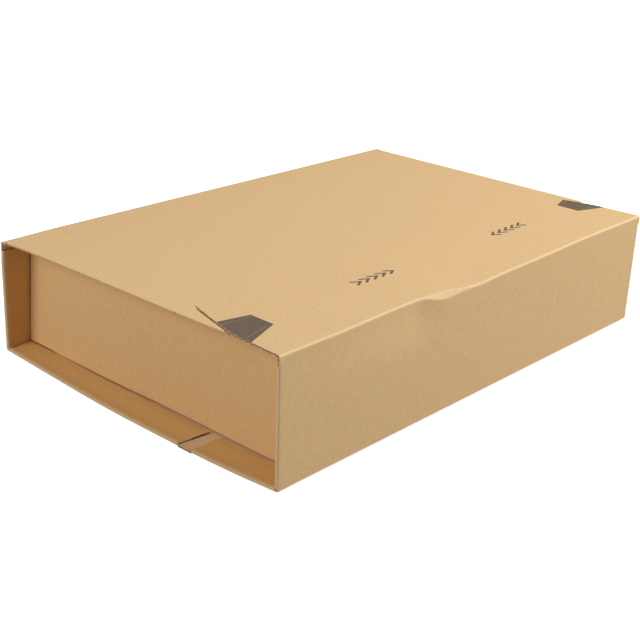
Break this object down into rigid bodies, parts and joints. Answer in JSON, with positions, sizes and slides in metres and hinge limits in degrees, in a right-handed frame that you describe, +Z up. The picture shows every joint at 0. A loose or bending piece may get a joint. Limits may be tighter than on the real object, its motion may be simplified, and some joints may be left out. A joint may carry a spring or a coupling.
{
  "type": "corrugated mailer box",
  "caption": "Closed wrap-style mailer of brown corrugated board with folded-back end rims, recessed end walls and tear-open lid corners.",
  "frame": {"origin": "centre of the bounding box on the face the box rests on, under the bottom panel", "axes": "+X along the length towards the right-hand end, +Y from the front panel to the back panel, +Z up through the lid"},
  "size_m": [0.33, 0.221, 0.0734],
  "materials": {
    "kraft_board": "uncoated kraft liner, matt, fine fibre grain",
    "adhesive_strip": "thin double-sided adhesive strip, matt"
  },
  "bodies": {
    "root": {"folded_sheet": "kraft_board", "seal_strip": "adhesive_strip"}
  },
  "joints": []
}
